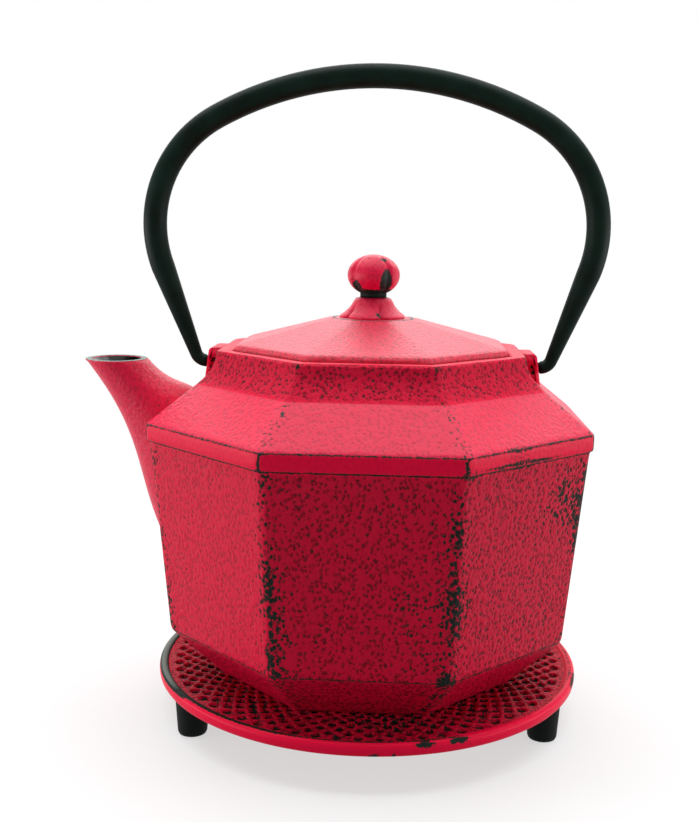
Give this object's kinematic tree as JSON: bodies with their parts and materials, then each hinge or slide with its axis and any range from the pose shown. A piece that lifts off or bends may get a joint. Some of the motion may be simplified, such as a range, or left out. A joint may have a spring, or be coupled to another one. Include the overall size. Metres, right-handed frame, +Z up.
{
  "type": "cast iron teapot",
  "caption": "Eight-sided cast iron teapot with a swinging bail handle, lift-off lid with lobed knob, lift-out tea basket, curved spout and a round footed trivet.",
  "frame": {"origin": "on the table the feet stand on, straight below the pot's own axis", "axes": "+Z up; the spout points to -X and the handle's pivot runs along X"},
  "size_m": [0.1825, 0.15, 0.2246],
  "materials": {
    "red_iron": "worn crimson paint over a pebbled casting",
    "black_iron": "satin black",
    "foot_rubber": "matt",
    "basket_steel": "satin"
  },
  "bodies": {
    "trivet": {"trivet_plate": "red_iron", "trivet_foot_left": "foot_rubber", "trivet_foot_right": "foot_rubber", "trivet_foot_back": "foot_rubber"},
    "pot": {"pot_body": "red_iron"},
    "bail": {"bail_handle": "black_iron"},
    "basket": {"infuser_rim": "basket_steel", "infuser_wall": "basket_steel", "infuser_base_ring": "basket_steel", "infuser_floor": "basket_steel"},
    "lid": {"lid": "red_iron", "knob_seat": "red_iron", "lid_knob": "red_iron", "knob_washer": "basket_steel"}
  },
  "joints": [
    {"name": "pot_lift", "type": "slide", "parent": "trivet", "child": "pot", "axis": [0, 0, 1], "range_m": [0, 0.1]},
    {"name": "bail_swing", "type": "hinge", "parent": "pot", "child": "bail", "pos_m": [0, 0, 0.1226], "axis": [1, 0, 0], "range_deg": [-110, 110]},
    {"name": "basket_lift", "type": "slide", "parent": "pot", "child": "basket", "axis": [0, 0, 1], "range_m": [0, 0.05]},
    {"name": "lid_lift", "type": "slide", "parent": "basket", "child": "lid", "axis": [0, 0, 1], "range_m": [0, 0.05]}
  ]
}
